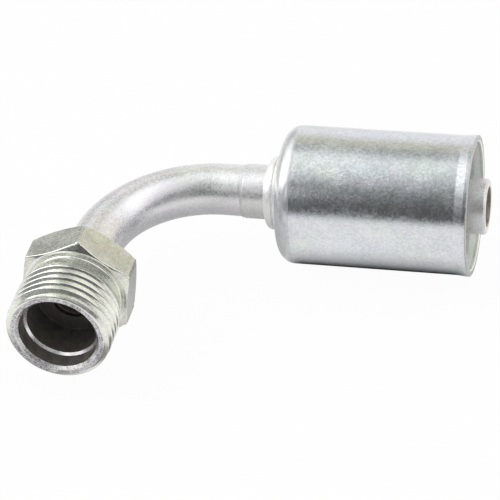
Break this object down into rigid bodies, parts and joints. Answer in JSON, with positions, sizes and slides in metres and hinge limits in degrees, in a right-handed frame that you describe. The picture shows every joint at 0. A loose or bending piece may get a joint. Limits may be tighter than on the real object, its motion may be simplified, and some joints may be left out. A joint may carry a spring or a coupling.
{
  "type": "hydraulic hose end fitting",
  "caption": "Ninety-degree crimp-on hose end: male swivel nut, bent steel tube and an open crimp ferrule around a barbed hose tail.",
  "frame": {"origin": "centre of the stop inside the seat sleeve, where the end of the mating pilot seats", "axes": "-Y along the nut axis out of its mouth, +X along the hose axis out of the ferrule, +Z square to the plane of the bend"},
  "size_m": [0.0791, 0.0593, 0.0259],
  "materials": {
    "nut_plating": "zinc plated, faint yellow-green tint",
    "turned_steel": "turned, zinc plated",
    "tube_plating": "matt zinc plating",
    "ferrule_plating": "bright zinc plating with a mottled spangle",
    "brazing": "brazing metal under zinc plating"
  },
  "bodies": {
    "elbow": {"elbow_tube": "tube_plating", "seat_sleeve": "turned_steel", "sleeve_braze": "brazing", "stem_braze": "brazing", "hose_stem": "turned_steel"},
    "nut": {"swivel_nut": "nut_plating"},
    "ferrule": {"ferrule": "ferrule_plating"}
  },
  "joints": [
    {"name": "nut_swivel", "type": "hinge", "parent": "elbow", "child": "nut", "pos_m": [0, 0, 0], "axis": [0, -1, 0], "continuous": true},
    {"name": "ferrule_spin", "type": "hinge", "parent": "elbow", "child": "ferrule", "pos_m": [0.05, 0.0363, 0], "axis": [1, 0, 0], "continuous": true}
  ]
}
